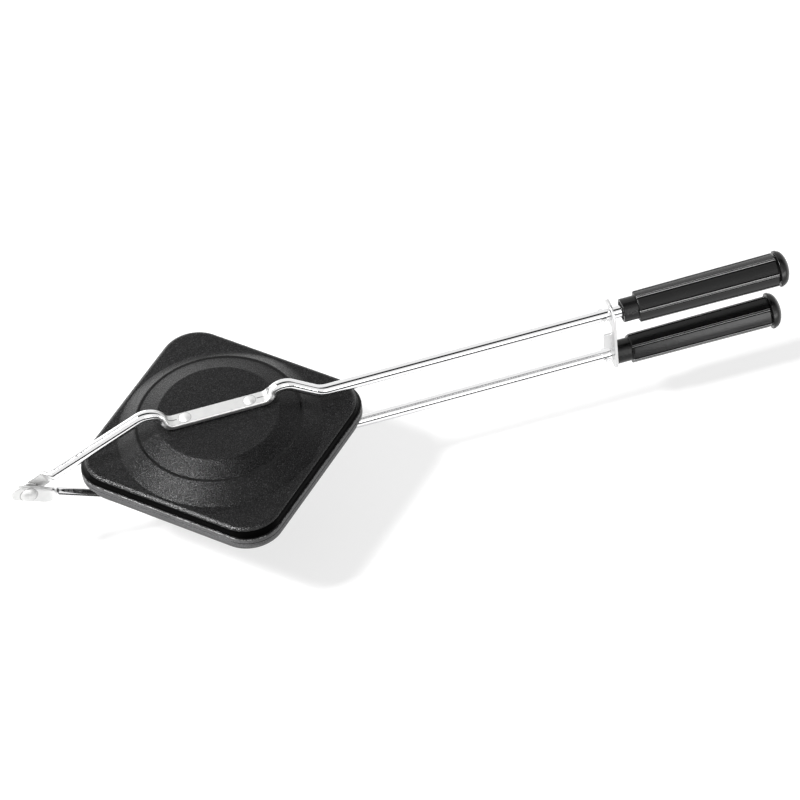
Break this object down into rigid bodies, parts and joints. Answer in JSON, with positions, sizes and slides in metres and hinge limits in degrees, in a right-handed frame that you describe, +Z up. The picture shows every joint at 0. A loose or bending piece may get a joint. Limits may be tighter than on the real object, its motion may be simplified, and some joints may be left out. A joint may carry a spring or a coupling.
{
  "type": "pie iron",
  "caption": "Hand-held pie iron: square pressed pans with stepped domes on hinged steel rods, with ribbed grips and a swinging latch plate.",
  "frame": {"origin": "centre of the two pans on the seam plane between them", "axes": "+X along the rods from the pans to the grips, +Y away from the camera side, +Z up out of the upper pan; the hinge axis is parallel to Y"},
  "size_m": [0.4772, 0.1692, 0.0782],
  "materials": {
    "pan": "black non-stick coating with a fine bright grain, glossy on the upright rim",
    "rod": "bright plated steel rod",
    "rivet": "plain bright steel",
    "latch": "plated steel sheet",
    "retainer": "spring steel, hidden in the grip",
    "grip": "black moulded plastic with a fine texture"
  },
  "bodies": {
    "lower_arm": {"lower_pan": "pan", "lower_rod": "rod", "lower_rivet_hinge_side": "rivet", "lower_rivet_grip_side": "rivet", "hinge_rivet": "rivet", "hinge_washer": "rivet", "lower_grip": "grip", "lower_grip_retainer": "retainer", "lower_grip_cap": "grip"},
    "upper_arm": {"upper_pan": "pan", "upper_rod": "rod", "upper_rivet_hinge_side": "rivet", "upper_rivet_grip_side": "rivet", "upper_grip": "grip", "upper_grip_retainer": "retainer", "upper_grip_cap": "grip"},
    "latch": {"latch_plate": "latch"}
  },
  "joints": [
    {"name": "arm_hinge", "type": "hinge", "parent": "lower_arm", "child": "upper_arm", "pos_m": [-0.1175, 0, 0], "axis": [0, -1, 0], "range_deg": [0, 180]},
    {"name": "latch_swing", "type": "hinge", "parent": "lower_arm", "child": "latch", "pos_m": [0.23945, 0, -0.0171], "axis": [1, 0, 0], "range_deg": [0, 180]}
  ]
}
